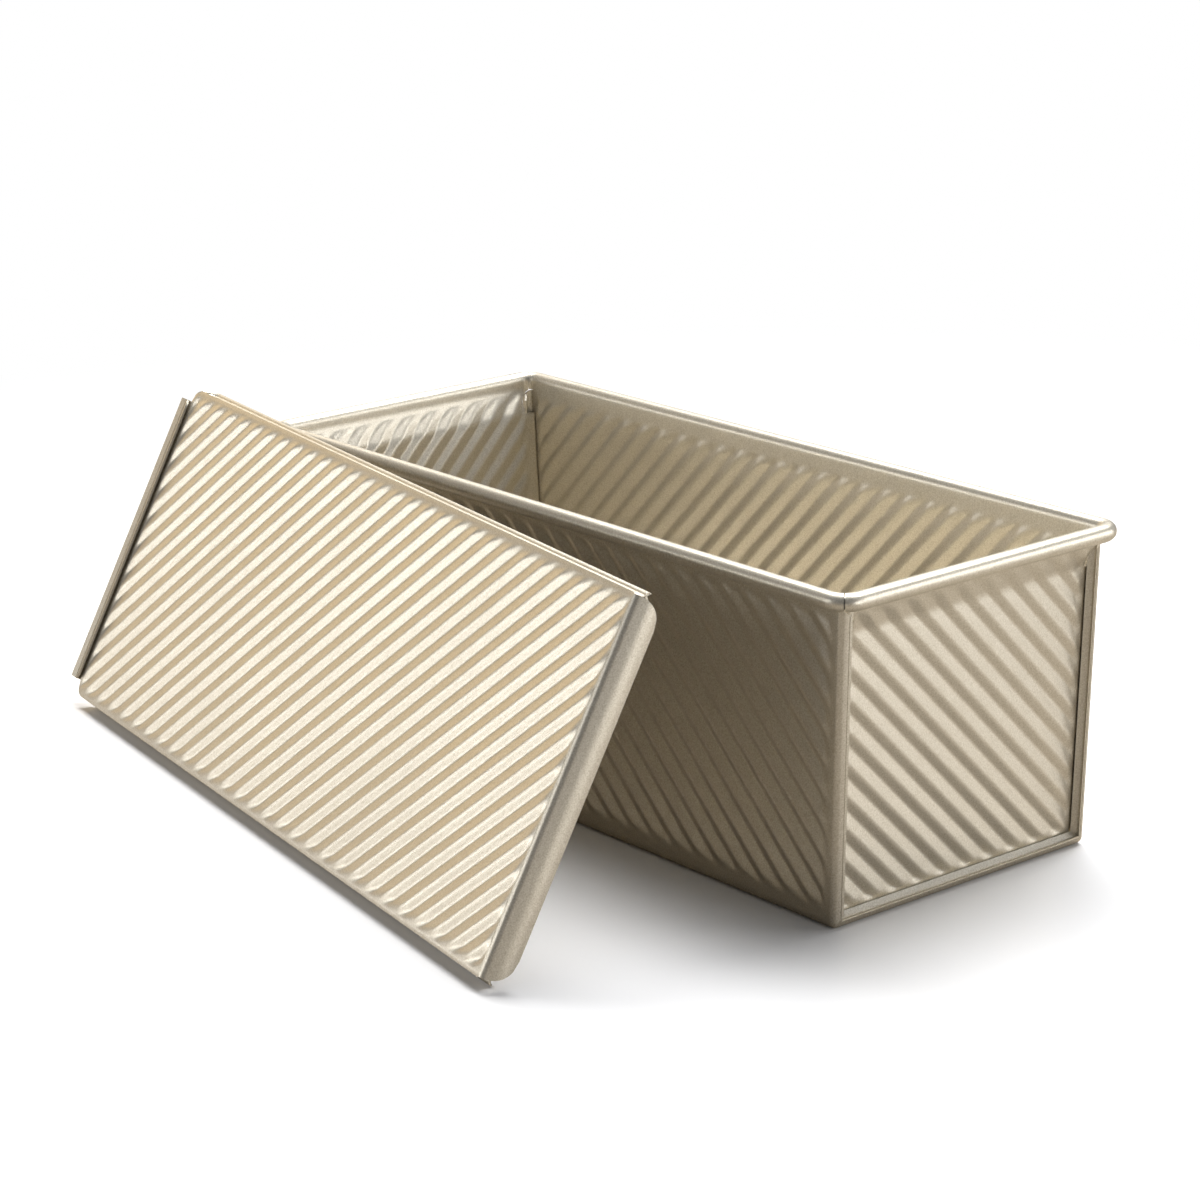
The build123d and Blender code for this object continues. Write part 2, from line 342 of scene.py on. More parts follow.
class FoldedSheet:
    """Collects grids of points on the middle of a sheet and makes one solid folded piece of them."""

    def __init__(self, name: str) -> None:
        """Start with no points.

        Args:
            name: The finished piece's name.
        """
        self.name = name
        self.points: list = []
        self.faces: list = []

    def grid(self, rows: np.ndarray | list, rise: Rise | None = None) -> None:
        """Add a grid of points as faces.

        Args:
            rows: Rows by columns by three coordinates, in millimetres.
            rise: Way the ribs run, so that faces are split along them; None leaves four-sided faces.
        """
        points = np.array(rows)
        base = len(self.points)
        count, columns, _ = points.shape
        self.points.extend(points.reshape(-1, 3).tolist())
        for row in range(count - 1):
            for column in range(columns - 1):
                a = base + row * columns + column
                b, c, d = a + 1, a + columns + 1, a + columns
                if rise is Rise.RISING:
                    self.faces.extend(((a, b, c), (a, c, d)))
                elif rise is Rise.FALLING:
                    self.faces.extend(((a, b, d), (b, c, d)))
                else:
                    self.faces.append((a, b, c, d))

    def build(self, thickness: float, place: Matrix | None = None) -> bpy.types.Object:
        """Join the grids, give the sheet its thickness and return the finished object.

        Args:
            thickness: Sheet thickness in millimetres.
            place: Where the piece stands; None leaves it where it was drawn.

        Returns:
            The new object, in metres.
        """
        mesh = bpy.data.meshes.new(self.name)
        mesh.from_pydata([[v * MM for v in p] for p in self.points], [], self.faces)
        shape = bmesh.new()
        shape.from_mesh(mesh)
        bmesh.ops.remove_doubles(shape, verts=shape.verts, dist=JOIN_GAP * MM)
        bmesh.ops.dissolve_degenerate(shape, edges=shape.edges, dist=LEAST_EDGE * MM)
        bmesh.ops.recalc_face_normals(shape, faces=shape.faces)
        if place is not None:
            bmesh.ops.transform(shape, matrix=place, verts=shape.verts)
        shape.to_mesh(mesh)
        shape.free()
        thin = bpy.data.objects.new(self.name + "_middle", mesh)
        bpy.context.scene.collection.objects.link(thin)
        solid = thin.modifiers.new("thickness", "SOLIDIFY")
        solid.thickness = thickness * MM
        solid.offset = 0
        solid.use_quality_normals = True
        bpy.context.view_layer.update()
        made = bpy.data.meshes.new_from_object(thin.evaluated_get(bpy.context.evaluated_depsgraph_get()))
        bpy.data.objects.remove(thin)
        made.name = self.name
        made.shade_smooth()
        made.set_sharp_from_angle(angle=math.radians(SHARP_ANGLE))
        piece = bpy.data.objects.new(self.name, made)
        bpy.context.scene.collection.objects.link(piece)
        log.info("%s: %d faces", self.name, len(made.polygons))
        return piece


def paint(piece: bpy.types.Object, material: bpy.types.Material) -> None:
    """Give a piece its one material."""
    piece.data.materials.clear()
    piece.data.materials.append(material)


def dress(piece: bpy.types.Object, material: bpy.types.Material, body: str, node: str) -> None:
    """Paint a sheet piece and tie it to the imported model.

    Args:
        piece: The finished sheet.
        material: Its coating.
        body: Body that it moves with.
        node: Solid that it stands for.
    """
    paint(piece, material)
    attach(piece, body)
    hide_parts(node)


@dataclass
class Pan:
    """The pan: one folded wrap, and an end panel clinched into each end."""

    stock: Stock
    sizes: PanSizes

    def __post_init__(self) -> None:
        """Work out the places that the pieces share."""
        stock, sizes = self.stock, self.sizes
        self.end_slope = math.tan(math.radians(sizes.end_lean))
        self.side_slope = math.tan(math.radians(sizes.side_lean))
        self.half_length = sizes.length / 2
        self.half_width = sizes.width / 2
        self.bead_height = sizes.height - stock.bead
        self.bead_x = self.half_length + self.bead_height * self.end_slope + sizes.flare_outset + stock.bead
        self.bead_y = self.half_width + self.bead_height * self.side_slope - stock.sheet + stock.bead
        self.corner_x = self.bead_x - sizes.rim_corner
        self.corner_y = self.bead_y - sizes.rim_corner
        self.corner_turn = math.radians(45) - stock.seam_gap / 2 / sizes.rim_corner
        self.collar_bottom = self.bead_height - sizes.collar
        self.leg_top = self.collar_bottom - stock.seam_gap
        self.flare_bottom = self.bead_height - sizes.flare_height
        # The wall turns by this angle into the frame, on a bend whose middle line has this radius
        self.frame_turn = math.atan2(sizes.frame_width - stock.half, sizes.frame_rise + stock.half)
        self.bend_line = sizes.bend - stock.half
        self.bend_x = self.half_length - stock.half - self.bend_line * math.tan(self.frame_turn / 2)
        # The end panel's plate, its flanges' middle line and how wide it is beside and above the flanges
        self.panel_x = self.half_length - sizes.frame_depth - stock.half
        self.panel_foot = sizes.bend + stock.sheet
        self.flange = stock.half + stock.layer
        self.panel_side = self.half_width - self.flange - sizes.flange_bend
        self.panel_top_side = (self.half_width - sizes.frame_width - stock.sheet + stock.half
                               - stock.fold_gap)

    def make(self, coating: bpy.types.Material) -> None:
        """Build the wrap and both end panels and dress them.

        Args:
            coating: Material of all three.
        """
        for sheet, node in (
            (self.wrap(), "pan_wrap"),
            (self.panel(End.NEAR), "near_end_panel"),
            (self.panel(End.FAR), "far_end_panel"),
        ):
            dress(sheet.build(self.stock.sheet), coating, "pan", node)

    def wall_end(self, height: float) -> float:
        """Distance from the middle to where the wall bends into the frame, or the rim into its corner."""
        return self.bend_x + height * self.end_slope if height < self.leg_top else self.corner_x

    def leg_drop(self, inward: float) -> float:
        """How far the frame's legs end below the collar, at one distance in from the wall."""
        s = self.sizes
        return s.frame_top_drop * (max(inward, 0) / s.frame_width) ** s.frame_top_power

    def roll(self, centre: float) -> np.ndarray:
        """Section of the rolled rim, from its free edge to where the wall takes over.

        Args:
            centre: Where the roll's centre lies across the pan.

        Returns:
            Distance across and height, one row for each point.
        """
        angles = np.radians(np.linspace(180 - self.stock.roll_turn, 180, ROLL_STEPS + 1))
        radius = self.stock.bead_line
        return np.stack([centre + radius * np.cos(angles), self.bead_height + radius * np.sin(angles)], 1)

    def corner_section(self) -> np.ndarray:
        """Section of the rim and its collar at a corner.

        Returns:
            Distance from the corner's centre and height, one row for each point.
        """
        inner = self.sizes.rim_corner - self.stock.bead_line
        collar = [[inner, z] for z in onward(self.bead_height, self.collar_bottom, COLLAR_STEPS)]
        return np.vstack([self.roll(self.sizes.rim_corner), collar])

    def wall_heights(self, step: float) -> np.ndarray:
        """Heights of a long wall's rows, from the bottom bend to the rim.

        Args:
            step: Gap between the ribbed rows.

        Returns:
            The heights, lowest first.
        """
        ribbed = np.arange(self.sizes.bend, self.leg_top, step)
        collar = onward(self.collar_bottom, self.bead_height, COLLAR_STEPS)
        return np.concatenate([ribbed, [self.leg_top - ROW_GAP, self.collar_bottom], collar])

    def wrap(self) -> FoldedSheet:
        """Floor, long walls, rolled rims and end frames, as one folded sheet.

        Returns:
            The sheet, ready to build.
        """
        sheet = FoldedSheet("wrap_sheet")
        step = self.sizes.wall_pitch * math.sqrt(2) / STEPS_PER_RIB
        heights = self.wall_heights(step)
        roll = self.roll(self.bead_y)
        for side in (-1, 1):
            wall = self.wall(side, heights, step)
            sheet.grid(wall, Rise.FALLING if side < 0 else Rise.RISING)
            sheet.grid([grid_row(wall[-1][:, 0], side * y, z) for y, z in roll])
            self.wall_rim_corners(sheet, side)
            self.floor_half(sheet, side, wall[0][:, 0])
        self.frames(sheet, heights)
        return sheet

    def wall(self, side: int, heights: np.ndarray, step: float) -> np.ndarray:
        """One long wall with its diagonal ribs, which fade out at the window's edges.

        Args:
            side: 1 or -1, the sign of the wall's place across the pan.
            heights: Heights of the rows.
            step: Gap between the ribbed columns.

        Returns:
            Rows by columns by three coordinates.
        """
        s = self.sizes
        middle = even_places(self.bend_x - s.wall_margin - step, step)
        window_low = s.bend + s.wall_foot
        window_high = self.bead_height - s.wall_head
        rows = []
        for z in heights:
            x = widened(middle, self.wall_end(z), WALL_MARGIN_STEPS)
            window_side = self.bend_x + z * self.end_slope - s.wall_margin
            inside = np.minimum(min(z - window_low, window_high - z), window_side - np.abs(x))
            across = (z - s.bend - side * x) / (STEPS_PER_RIB * step)
            press = rib_wave(across, s.rib_long_share) * smooth_step(inside / s.wall_fade) * s.rib_depth / 2
            plain = self.half_width + z * self.side_slope - self.stock.half
            rows.append(grid_row(x, side * (plain - press), z))
        return np.array(rows)

    def wall_rim_corners(self, sheet: FoldedSheet, side: int) -> None:
        """Half of the rounded rim corner at both ends of one long wall.

        Args:
            sheet: The wrap, which gets the grids.
            side: 1 or -1, the sign of the wall's place across the pan.
        """
        out, height = self.corner_section().T
        for end in (-1, 1):
            columns = []
            for angle in np.linspace(0, self.corner_turn, CORNER_STEPS + 1):
                x = self.corner_x + out * math.sin(angle)
                y = self.corner_y + out * math.cos(angle)
                columns.append(grid_row(end * x, side * y, height))
            sheet.grid(np.array(columns).transpose(1, 0, 2))

    def floor_half(self, sheet: FoldedSheet, side: int, columns: np.ndarray) -> None:
        """Long bottom bend and half of the floor.

        Args:
            sheet: The wrap, which gets the grid.
            side: 1 or -1, the sign of the half's place across the pan.
            columns: Where the wall's lowest row has its points along the pan.
        """
        bend = self.sizes.bend
        base = self.half_width - bend
        rows = [(self.half_width + bend * self.side_slope - self.stock.half, bend)]
        rows += [(base + self.bend_line * math.cos(angle), bend - self.bend_line * math.sin(angle))
                 for angle in onward(0, math.pi / 2, BEND_STEPS)]
        rows += [(y, self.stock.half) for y in onward(base, 0, FLOOR_STEPS)]
        sheet.grid([grid_row(columns * (self.wall_end(z) / self.wall_end(bend)), side * y, z) for y, z in rows])

    def frames(self, sheet: FoldedSheet, heights: np.ndarray) -> None:
        """The folded frame round each end: two legs and a bottom bar, mitred at the lower corners.

        Args:
            sheet: The wrap, which gets the grids.
            heights: Heights of the long walls' rows, which the legs meet.
        """
        s = self.sizes
        half = self.stock.half
        profile = bent_line(
            [(self.bend_x - self.half_length - LEAD_IN, half), (-half, half), (s.frame_rise, s.frame_width),
             (s.frame_end_gap - s.frame_depth, s.frame_width)],
            [self.bend_line, s.frame_crest],
        )[1:]
        profile[0] = (self.bend_x - self.half_length, half)
        legs = heights[heights < self.leg_top]
        top = legs[-1]
        for side in (-1, 1):
            for end in (-1, 1):
                columns = []
                for out, inward in profile:
                    low = max(s.bend, inward)
                    radius = max(s.bend - inward, 0)
                    tall = top - self.leg_drop(inward - half) - low
                    leg = low + (legs[::-1] - s.bend) * tall / (top - s.bend)
                    points = [(self.half_width + z * self.side_slope - inward, z) for z in leg]
                    points += [(self.half_width - low + radius * math.cos(a), low - radius * math.sin(a))
                               for a in onward(0, math.pi / 2, BEND_STEPS)]
                    points += [(y, inward if inward > s.bend else low - radius)
                               for y in onward(self.half_width - low, 0, FLOOR_STEPS)]
                    columns.append([(end * (self.half_length + z * self.end_slope + out), side * y, z)
                                    for y, z in points])
                sheet.grid(np.array(columns).transpose(1, 0, 2))

    def panel(self, end: End) -> FoldedSheet:
        """One end panel with its ribs, spread top, rolled rim and flanges.

        Args:
            end: Which of the two.

        Returns:
            The sheet, ready to build.
        """
        sheet = FoldedSheet(f"{end.name.lower()}_panel_sheet")
        plate = self.panel_plate(end.value)
        sheet.grid(plate, Rise.FALLING)
        sheet.grid([grid_row(end.value * x, plate[-1][:, 1], z) for x, z in self.roll(self.bead_x)])
        self.panel_rim_corners(sheet, end.value)
        self.panel_flanges(sheet, end.value)
        return sheet

    def panel_side_at(self, height: float) -> float:
        """Half width of the end panel at one height.

        It meets its flanges low down, lies between the frame's legs where it spreads, and widens over
        their tops to the rim's corners.

        Args:
            height: Height above the floor.

        Returns:
            Half the panel's width there.
        """
        s = self.sizes
        if height > self.collar_bottom - ROW_GAP:
            return self.corner_y
        if height > self.flare_bottom:
            start = self.collar_bottom - s.widen_below - s.widen_height
            share = np.clip((height - start) / s.widen_height, 0, 1)
            return self.panel_top_side + (self.corner_y - self.panel_top_side) * share
        return self.panel_side + height * self.side_slope

    def panel_plate(self, end: int) -> np.ndarray:
        """The panel's ribbed plate and its spread top.

        Args:
            end: 1 near, -1 far.

        Returns:
            Rows by columns by three coordinates.
        """
        s = self.sizes
        step = s.end_pitch * math.sqrt(2) / STEPS_PER_RIB
        lead = self.flare_bottom - s.flare_bend
        collar_x = self.bead_x - self.stock.bead_line
        flare = bent_line(
            [(self.panel_x + lead * self.end_slope, lead),
             (self.panel_x + self.flare_bottom * self.end_slope, self.flare_bottom),
             (collar_x, self.collar_bottom), (collar_x, self.bead_height)],
            [s.flare_bend, s.flare_bend], FLARE_STEPS,
        )
        rows = [(self.panel_x + z * self.end_slope, z)
                for z in np.arange(self.panel_foot, flare[1][1] - step / 2, step)]
        rows += [tuple(point) for point in fine_line(flare[1:], step)]
        middle = even_places(self.panel_top_side - PANEL_ROOM, step)
        window_low = s.frame_width + self.stock.half + s.end_margin
        window_high = self.bead_height - s.end_head
        window_side = self.panel_top_side - s.end_margin
        grid = []
        for x, z in rows:
            y = widened(middle, self.panel_side_at(z), PANEL_MARGIN_STEPS)
            inside = np.minimum(min((z - window_low) / s.end_fade, (window_high - z) / s.wall_fade),
                                (window_side - np.abs(y)) / s.end_fade)
            across = (y + z - self.panel_foot) / (STEPS_PER_RIB * step)
            press = rib_wave(across, s.rib_long_share) * smooth_step(inside) * s.rib_depth / 2
            grid.append(grid_row(end * (x - press), end * y, z))
        return np.array(grid)

    def panel_rim_corners(self, sheet: FoldedSheet, end: int) -> None:
        """The end's halves of its rim corners, each with a skirt down to the top of the frame's leg.

        Args:
            sheet: The end panel, which gets the grids.
            end: 1 near, -1 far.
        """
        inner = self.sizes.rim_corner - self.stock.bead_line
        wall = self.half_width + self.collar_bottom * self.side_slope - self.corner_y
        for side in (-1, 1):
            columns = []
            for angle in np.linspace(0, self.corner_turn, CORNER_STEPS + 1):
                skirt = self.leg_drop(wall - (inner * math.sin(angle) + self.stock.half))
                foot = [[inner - self.sizes.skirt_inset_share * skirt, self.collar_bottom - skirt]]
                out, height = np.vstack([self.corner_section(), foot]).T
                x = self.corner_x + out * math.cos(angle)
                y = self.corner_y + out * math.sin(angle)
                columns.append(grid_row(end * x, side * y, height))
            sheet.grid(np.array(columns).transpose(1, 0, 2))

    def panel_flanges(self, sheet: FoldedSheet, end: int) -> None:
        """Flanges of an end panel at its sides and bottom, tucked inside the frame.

        Args:
            sheet: The end panel, which gets the grids.
            end: 1 near, -1 far.
        """
        s, stock = self.sizes, self.stock
        bend_x = self.half_length - stock.half - stock.layer * math.tan(self.frame_turn / 2)
        tip = s.frame_width - 2 * stock.sheet
        tip_x = bend_x + (tip - self.flange) / math.tan(self.frame_turn)
        fold = [(self.panel_x, self.flange), (bend_x, self.flange), (tip_x, tip)]
        radii = [s.flange_bend, self.bend_line - stock.layer]
        upright = bent_line([(self.panel_x, self.half_width - self.panel_side)] + fold, radii)
        for side in (-1, 1):
            sheet.grid([
                [(end * (x + z * self.end_slope), end * side * (self.half_width + z * self.side_slope - y), z)
                 for x, y in upright]
                for z in np.linspace(s.frame_width + 2 * stock.sheet, self.flare_bottom, FLANGE_ROWS)
            ])
        bottom = bent_line([(self.panel_x, self.panel_foot)] + fold, radii)
        wide = self.half_width - s.frame_width - 2 * stock.sheet
        sheet.grid([
            [(end * (x + z * self.end_slope), end * y, z) for x, z in bottom]
            for y in np.linspace(-wide, wide, FLANGE_ROWS)
        ])


@dataclass
class Lid:
    """The sliding lid, drawn flat: x along it from the hem, y across it, z out of its face."""

    stock: Stock
    sizes: LidSizes
    pan: Pan

    def __post_init__(self) -> None:
        """Work out the lid's width and depth from the rim that it slides on, and its rows."""
        s, stock, half = self.sizes, self.stock, self.stock.half
        self.width = 2 * (self.pan.bead_y + stock.bead + s.play + stock.sheet)
        self.depth = 2 * stock.bead + 2 * stock.sheet + s.lift_play
        self.side = self.width / 2 - half
        self.flat = self.side - (s.shoulder - half)
        self.hem_x = half + s.hem_bend
        self.hem_half = self.width / 2 - s.hem_end_gap
        self.stop_corner_x = s.length - half - s.stop_bow
        self.stop_x = self.stop_corner_x - (s.stop_bend - half)
        self.stop_full = self.width / 2 - s.stop_side_gap
        self.step = s.pitch * math.sqrt(2) / STEPS_PER_RIB
        self.window = (s.hem_margin, s.length - s.stop_margin)
        self.centre = sum(self.window) / 2
        before = int((self.centre - self.hem_x - LID_END_ROOM) / self.step)
        after = int((self.stop_x - self.centre - LID_END_ROOM) / self.step)
        ribbed = self.centre + np.arange(-before, after + 1) * self.step
        self.rows = np.concatenate([[self.hem_x], ribbed, [self.stop_x]])
        self.channel_start = self.nearest_row(s.hem_width + s.hem_end_gap - s.shoulder)
        self.channel_end = self.nearest_row(s.length - s.stop_notch)

    def make(self, coating: bpy.types.Material) -> None:
        """Build the lid and dress it.

        Args:
            coating: Its material.
        """
        sheet = FoldedSheet("lid_sheet")
        face = self.face()
        sheet.grid(face, Rise.RISING)
        self.channels(sheet)
        self.hem(sheet, face[0])
        self.stop(sheet, face[-1])
        dress(sheet.build(self.stock.sheet, self.place()), coating, "lid", "lid")

    def nearest_row(self, place: float) -> float:
        """The row that lies nearest to a place along the lid."""
        return self.rows[np.argmin(np.abs(self.rows - place))]

    def face(self) -> np.ndarray:
        """The flat face with its diagonal ribs.

        Returns:
            Rows by columns by three coordinates.
        """
        s = self.sizes
        middle = even_places(self.flat - LID_SIDE_ROOM, self.step)
        low, high = self.window
        window_side = self.width / 2 - s.side_margin
        grid = []
        for x in self.rows:
            wide = self.face_half(x)
            y = widened(middle, max(wide, self.flat), LID_MARGIN_STEPS) * min(wide / self.flat, 1)
            inside = np.minimum(min(x - low, high - x), window_side - np.abs(y))
            across = (x - self.centre - y) / (STEPS_PER_RIB * self.step)
            press = rib_wave(across, s.rib_long_share) * smooth_step(inside / s.rib_fade) * s.rib_depth / 2
            grid.append(grid_row(x, y, -self.stock.half + press))
        return np.array(grid)

    def face_half(self, x: float) -> float:
        """Half width of the flat face: narrower at the hem and the stop, beyond the channels' ends.

        Args:
            x: Distance along the lid.

        Returns:
            Half the face's width there.
        """
        hem_width = self.sizes.hem_width
        if x <= hem_width:
            return self.hem_half
        if x < self.channel_start:
            share = (self.channel_start - x) / (self.channel_start - hem_width)
            return self.hem_half + (self.flat - self.hem_half) * math.sqrt(1 - share ** 2)
        if x > self.channel_end:
            return self.stop_full
        return self.flat

    def channels(self, sheet: FoldedSheet) -> None:
        """Both side channels, whose ends by the hem grow out of the face on a curve.

        Args:
            sheet: The lid, which gets the grids.
        """
        s, half = self.sizes, self.stock.half
        section = bent_line(
            [(self.flat, -half), (self.side, -half), (self.side, half - self.depth),
             (self.side - s.lip, half - self.depth)],
            [s.shoulder - half - BEND_SLACK, s.lip_bend - half],
        )
        section = np.delete(section, 1, 0)
        between = (self.rows >= self.channel_start) & (self.rows <= self.channel_end)
        for way in (-1, 1):
            grid = []
            for x in self.rows[between]:
                share = min((x - self.channel_start) / s.channel_round, 1)
                grown = (math.sqrt(1 - (1 - share) ** 2) * (1 - s.channel_end_share)
                         + s.channel_end_share)
                grid.append([(x, way * (self.flat + (y - self.flat) * grown), -half + (z + half) * grown)
                             for y, z in section])
            sheet.grid(grid)

    def hem(self, sheet: FoldedSheet, edge: np.ndarray) -> None:
        """The hem, folded back over the face, with rounded corners at its free edge.

        Args:
            sheet: The lid, which gets the grid.
            edge: The face's first row, which the hem starts from.
        """
        s, half = self.sizes, self.stock.half
        section = bent_line(
            [(self.hem_x, -half), (half, -half), (half, s.hem_height - half),
             (s.hem_width, s.hem_height - half - s.hem_drop)],
            [s.hem_bend - BEND_SLACK, s.hem_back_bend], HEM_BEND_STEPS,
        )
        section = np.vstack([np.delete(section, 1, 0)[:-2], fine_line(section[-2:], HEM_STEP)])
        grid = []
        for x, z in section:
            share = 1.0
            if z > s.hem_back_height:
                into = min(max(x / s.hem_width, 0), 1)
                share = 1 - s.hem_corner * (1 - math.sqrt(1 - into ** 2)) / self.hem_half
            grid.append(grid_row(x, edge[:, 1] * share, z))
        sheet.grid(grid)

    def stop(self, sheet: FoldedSheet, edge: np.ndarray) -> None:
        """The stop flange: bent down, bowed outwards, with rounded lower corners.

        Args:
            sheet: The lid, which gets the grid.
            edge: The face's last row, which the flange starts from.
        """
        s, half = self.sizes, self.stock.half
        section = fine_line(bent_line(
            [(self.stop_x, -half), (self.stop_corner_x, -half), (s.length - half, -s.stop_bow_depth),
             (s.length - half - s.stop_tip_inset, -s.stop_depth)],
            [s.stop_bend - half, s.stop_bow_bend], STOP_BEND_STEPS,
        ), STOP_STEP)
        sheet.grid([grid_row(x, edge[:, 1] * (self.stop_half(-z) / self.stop_half(0)), z) for x, z in section])

    def stop_half(self, depth: float) -> float:
        """Half width of the stop flange, with its rounded corners.

        Args:
            depth: Depth below the face.

        Returns:
            Half the flange's width there.
        """
        corner = self.sizes.stop_corner
        into = depth - (self.sizes.stop_depth - corner)
        if into <= 0:
            return self.stop_full
        return self.stop_full - (corner - math.sqrt(max(corner ** 2 - into ** 2, 0)))

    def place(self) -> Matrix:
        """Where the lid stands: on its lower channel, with its upper edge on the rim.

        Returns:
            The lid's place in the pan's frame, in metres.
        """
        s, pan = self.sizes, self.pan
        lean, yaw = math.radians(s.lean), math.radians(s.yaw)
        foot = s.lip_bend * (1 - math.sin(lean) - math.cos(lean)) + self.depth * math.cos(lean)
        under = self.depth + self.stock.bead + s.rest_gap
        touch = (pan.bead_height - foot + under * math.cos(lean)) / math.sin(lean)
        reach = touch * math.cos(lean) + under * math.sin(lean)
        rim = pan.corner_x * math.sin(yaw) + pan.corner_y * math.cos(yaw) + pan.sizes.rim_corner
        along = Vector((math.cos(yaw), -math.sin(yaw), 0))
        inward = Vector((math.sin(yaw), math.cos(yaw), 0))
        slope = inward * math.cos(lean) + Vector((0, 0, math.sin(lean)))
        face = along.cross(slope)
        start = along * -s.start + inward * -(rim + reach) + Vector((0, 0, foot)) + slope * (self.width / 2)
        turn = Matrix((along, slope, face)).transposed().to_4x4()
        return Matrix.Translation(start * MM) @ turn


class Nodes:
    """The node tree of a material or a world, with one short way to add and wire a node."""

    def __init__(self, owner: bpy.types.Material | bpy.types.World) -> None:
        """Empty the owner's tree.

        Args:
            owner: Material or world that the nodes are for.
        """
        owner.use_nodes = True
        self.tree = owner.node_tree
        self.tree.nodes.clear()

    def add(self, kind: str, inputs: dict | None = None, **settings) -> bpy.types.Node:
        """Add a node.

        Args:
            kind: The node's type name.
            inputs: Socket name or number to a value, or to an output socket to link.
            **settings: Attributes of the node.

        Returns:
            The node.
        """
        node = self.tree.nodes.new(kind)
        for key, value in settings.items():
            setattr(node, key, value)
        for key, value in (inputs or {}).items():
            if isinstance(value, bpy.types.NodeSocket):
                self.tree.links.new(value, node.inputs[key])
            else:
                node.inputs[key].default_value = value
        return node


@dataclass(frozen=True)
class SprayedCoating:
    """A satin non-stick coating with metal flakes, sprayed on aluminised steel and baked.

    Colours are sRGB, lengths in millimetres, and the rest are shares of one.
    """

    name: str
    body: str
    flake: str
    roughness: float
    roughness_spread: float
    metallic: float
    grain_mm: float
    grain_detail: float
    grain_roughness: float
    grain_bump: float
    grain_depth_share: float
    flake_share: float
    cloud_mm: float
    cloud_detail: float

    def material(self) -> bpy.types.Material:
        """Make the coating's material.

        Returns:
            Flakes in the body colour, with a fine bump and broad patches of gloss.
        """
        material = bpy.data.materials.new(self.name)
        nodes = Nodes(material)
        place = nodes.add("ShaderNodeTexCoord").outputs["Object"]
        grain = nodes.add("ShaderNodeTexNoise", {
            "Vector": place, "Scale": 1 / (self.grain_mm * MM), "Detail": self.grain_detail,
            "Roughness": self.grain_roughness,
        }).outputs["Fac"]
        glint = nodes.add("ShaderNodeMapRange", {
            "Value": grain, "From Min": NOISE_MIDDLE - self.flake_share,
            "From Max": NOISE_MIDDLE + self.flake_share,
        })
        cloud = nodes.add("ShaderNodeTexNoise", {
            "Vector": place, "Scale": 1 / (self.cloud_mm * MM), "Detail": self.cloud_detail,
        })
        colour = nodes.add("ShaderNodeMix", {
            "Factor": glint.outputs["Result"], MIX_A: linear(self.body), MIX_B: linear(self.flake),
        }, data_type="RGBA")
        rough = nodes.add("ShaderNodeMapRange", {
            "Value": cloud.outputs["Fac"], "To Min": self.roughness - self.roughness_spread,
            "To Max": self.roughness + self.roughness_spread,
        })
        bump = nodes.add("ShaderNodeBump", {
            "Height": grain, "Strength": self.grain_bump,
            "Distance": self.grain_mm * MM * self.grain_depth_share,
        })
        shader = nodes.add("ShaderNodeBsdfPrincipled", {
            "Base Color": colour.outputs[MIX_RESULT], "Metallic": self.metallic,
            "Roughness": rough.outputs["Result"], "Normal": bump.outputs["Normal"],
        })
        nodes.add("ShaderNodeOutputMaterial", {"Surface": shader.outputs["BSDF"]})
        return material


@dataclass(frozen=True)
class DrawnWire:
    """Bright steel wire, drawn through a die: an sRGB colour, lengths in millimetres, shares of one."""

    name: str
    colour: str
    roughness_low: float
    roughness_high: float
    metallic: float
    mark_mm: float
    mark_detail: float

    def material(self) -> bpy.types.Material:
        """Make the wire's material.

        Returns:
            Clean metal whose gloss varies with the die's marks.
        """
        material = bpy.data.materials.new(self.name)
        nodes = Nodes(material)
        marks = nodes.add("ShaderNodeTexNoise", {
            "Vector": nodes.add("ShaderNodeTexCoord").outputs["Object"], "Scale": 1 / (self.mark_mm * MM),
            "Detail": self.mark_detail,
        })
        rough = nodes.add("ShaderNodeMapRange", {
            "Value": marks.outputs["Fac"], "To Min": self.roughness_low, "To Max": self.roughness_high,
        })
        shader = nodes.add("ShaderNodeBsdfPrincipled", {
            "Base Color": linear(self.colour), "Metallic": self.metallic, "Roughness": rough.outputs["Result"],
        })
        nodes.add("ShaderNodeOutputMaterial", {"Surface": shader.outputs["BSDF"]})
        return material


# Sprayed and baked: a warm grey-gold that mirrors only softly, with a faint sparkle. Real flakes are about
# 0.05 mm wide, too fine to show, so the grain is drawn ten times as coarse. The spray's uneven thickness
# shows as broad patches of slightly different gloss.
NONSTICK = SprayedCoating(
    name="champagne_nonstick_coating", body="#C6BDAA", flake="#EDE7DA", roughness=0.40, roughness_spread=0.04,
    metallic=0.8, grain_mm=0.5, grain_detail=3.0, grain_roughness=0.7, grain_bump=0.2, grain_depth_share=0.4,
    flake_share=0.2, cloud_mm=45.0, cloud_detail=3.0,
)

# Drawn steel: a cool grey gleam, seen only through the seams at the rim's corners
WIRE = DrawnWire(
    name="drawn_steel_wire", colour="#8E8C88", roughness_low=0.25, roughness_high=0.45, metallic=1.0,
    mark_mm=1.1, mark_detail=2.0,
)


